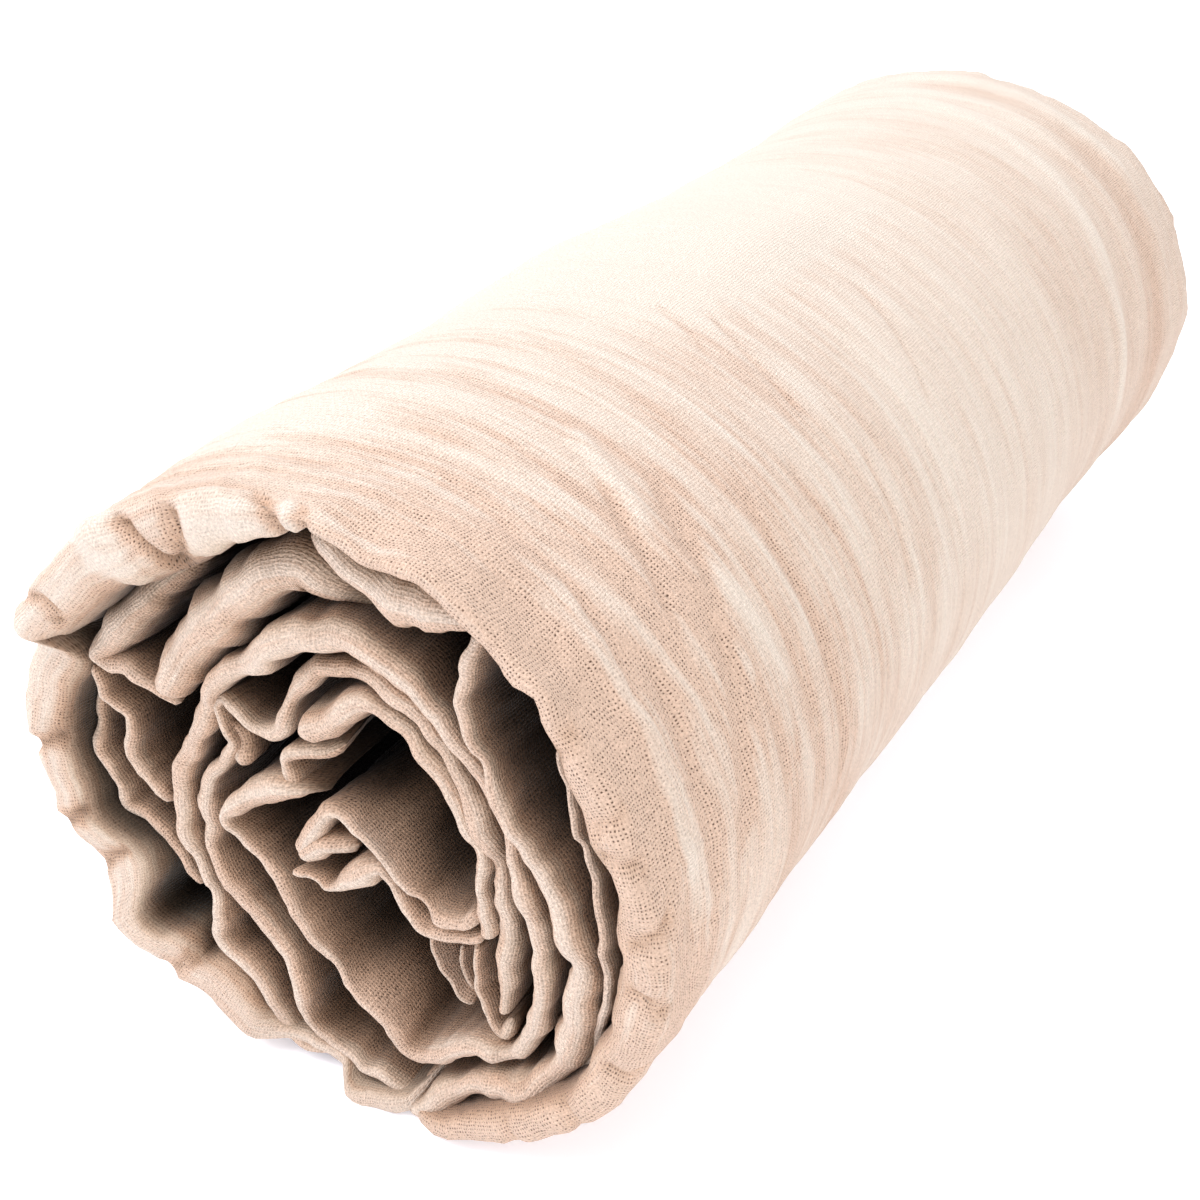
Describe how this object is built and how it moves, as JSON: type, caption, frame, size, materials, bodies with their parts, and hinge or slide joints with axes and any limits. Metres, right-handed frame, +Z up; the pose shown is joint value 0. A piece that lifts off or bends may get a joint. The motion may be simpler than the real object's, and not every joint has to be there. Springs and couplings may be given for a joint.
{
  "type": "rolled fitted sheet",
  "caption": "Crinkled cotton gauze fitted sheet, folded lengthwise and rolled into a soft cylinder whose open end shows the spiral of folded layers.",
  "frame": {"origin": "centre of the roll's footprint, on the surface that it rests on", "axes": "+Y along the roll, from the open near end towards the plain far end; +Z up; the band winds anticlockwise outwards as seen from the near end"},
  "size_m": [0.1255, 0.2797, 0.1137],
  "materials": {
    "gauze": "washed crinkled cotton gauze, matt, pale peach beige"
  },
  "bodies": {
    "root": {"rolled_sheet": "gauze"}
  },
  "joints": []
}
